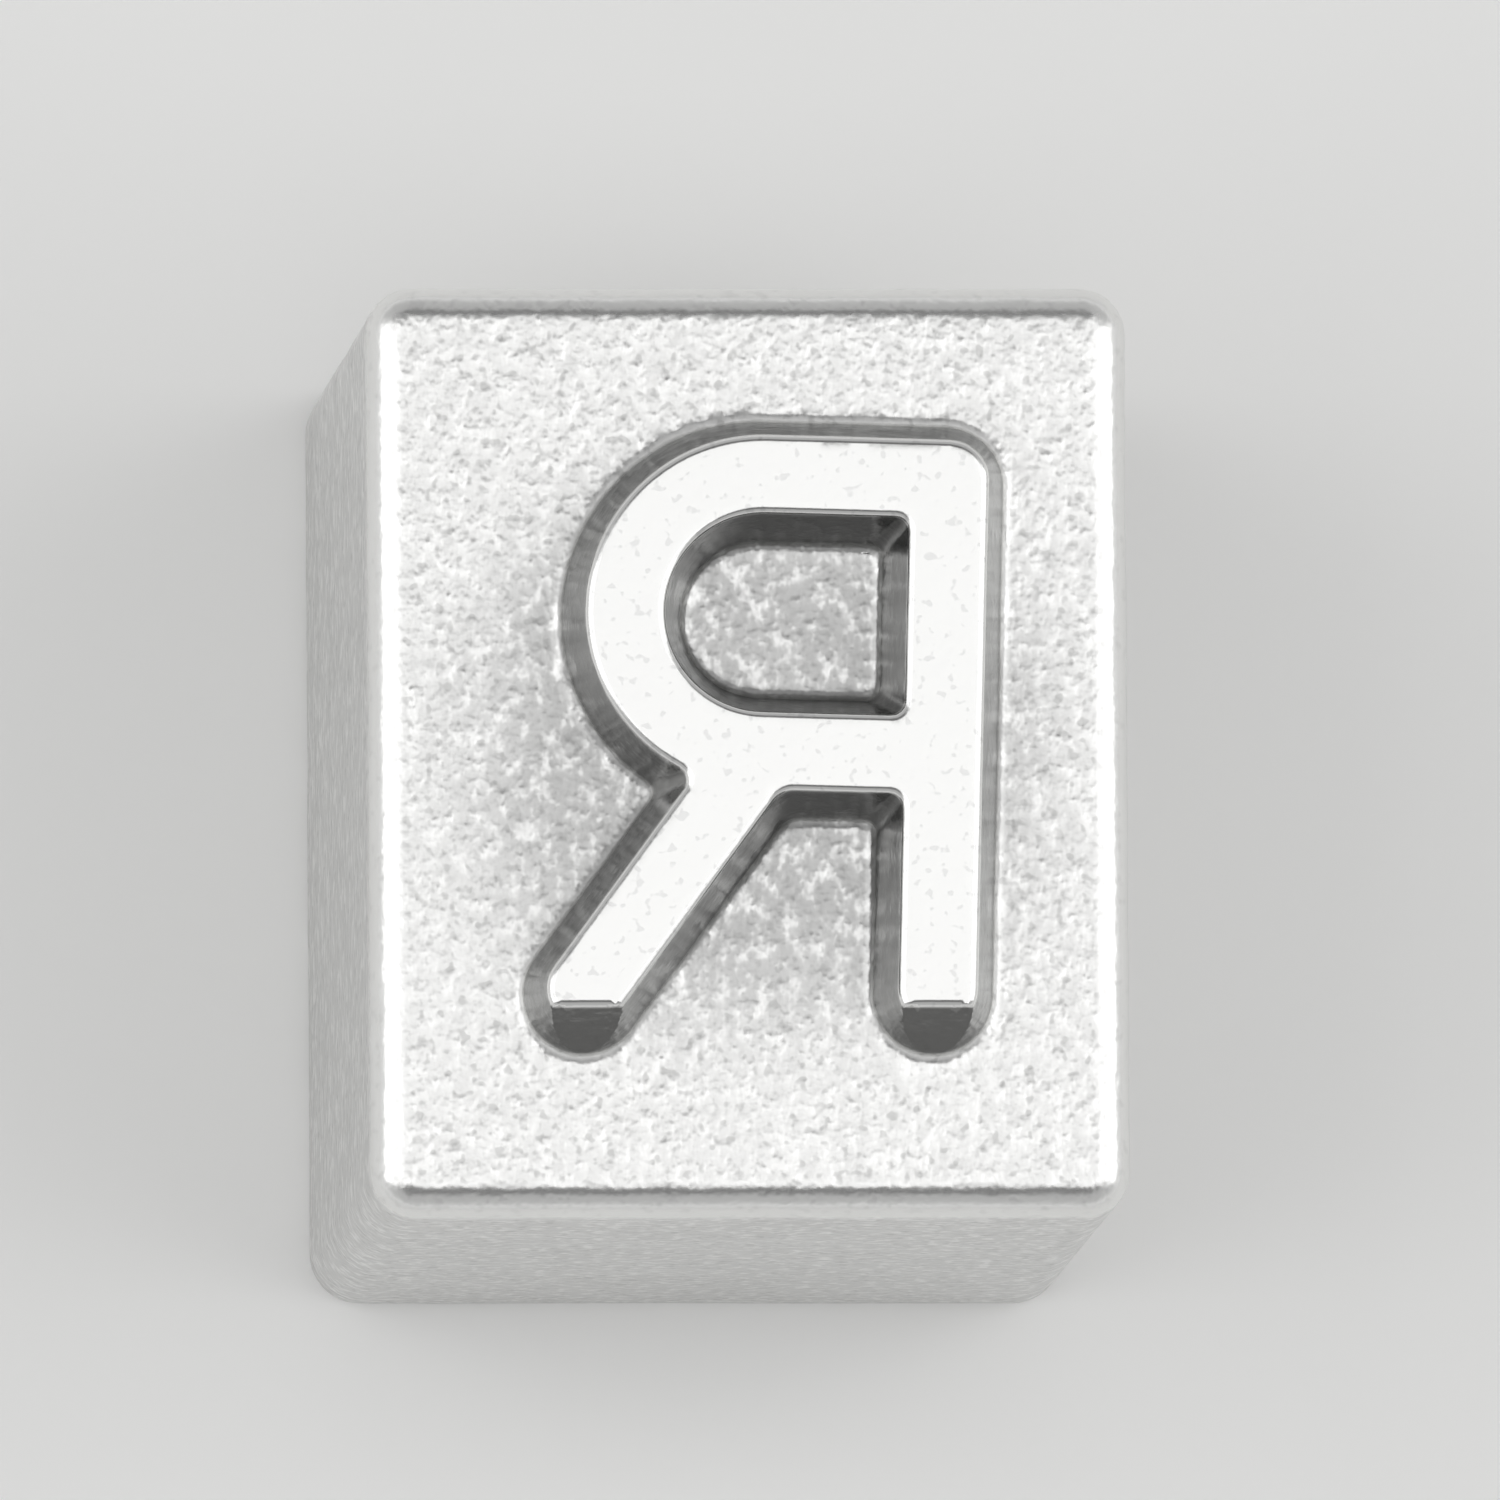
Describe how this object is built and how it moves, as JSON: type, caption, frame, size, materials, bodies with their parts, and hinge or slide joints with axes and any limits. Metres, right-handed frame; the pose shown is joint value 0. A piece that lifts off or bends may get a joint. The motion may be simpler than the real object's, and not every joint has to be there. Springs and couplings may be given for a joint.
{
  "type": "steel letter punch",
  "caption": "Small metal block with a raised, mirrored letter on its face and a round blind socket in its back. Struck through a handle, it stamps the letter into leather or soft sheet.",
  "frame": {"origin": "centre of the back face, on the socket's axis", "axes": "+Z out of the printing face, +Y towards the letter's top, +X to the right seen from above the letter"},
  "size_m": [0.0086, 0.0104, 0.013],
  "materials": {
    "punch_metal": "satin, fine-grained cast skin; the letter's printing flat is smoother and brighter"
  },
  "bodies": {
    "root": {"letter_punch": "punch_metal"}
  },
  "joints": []
}
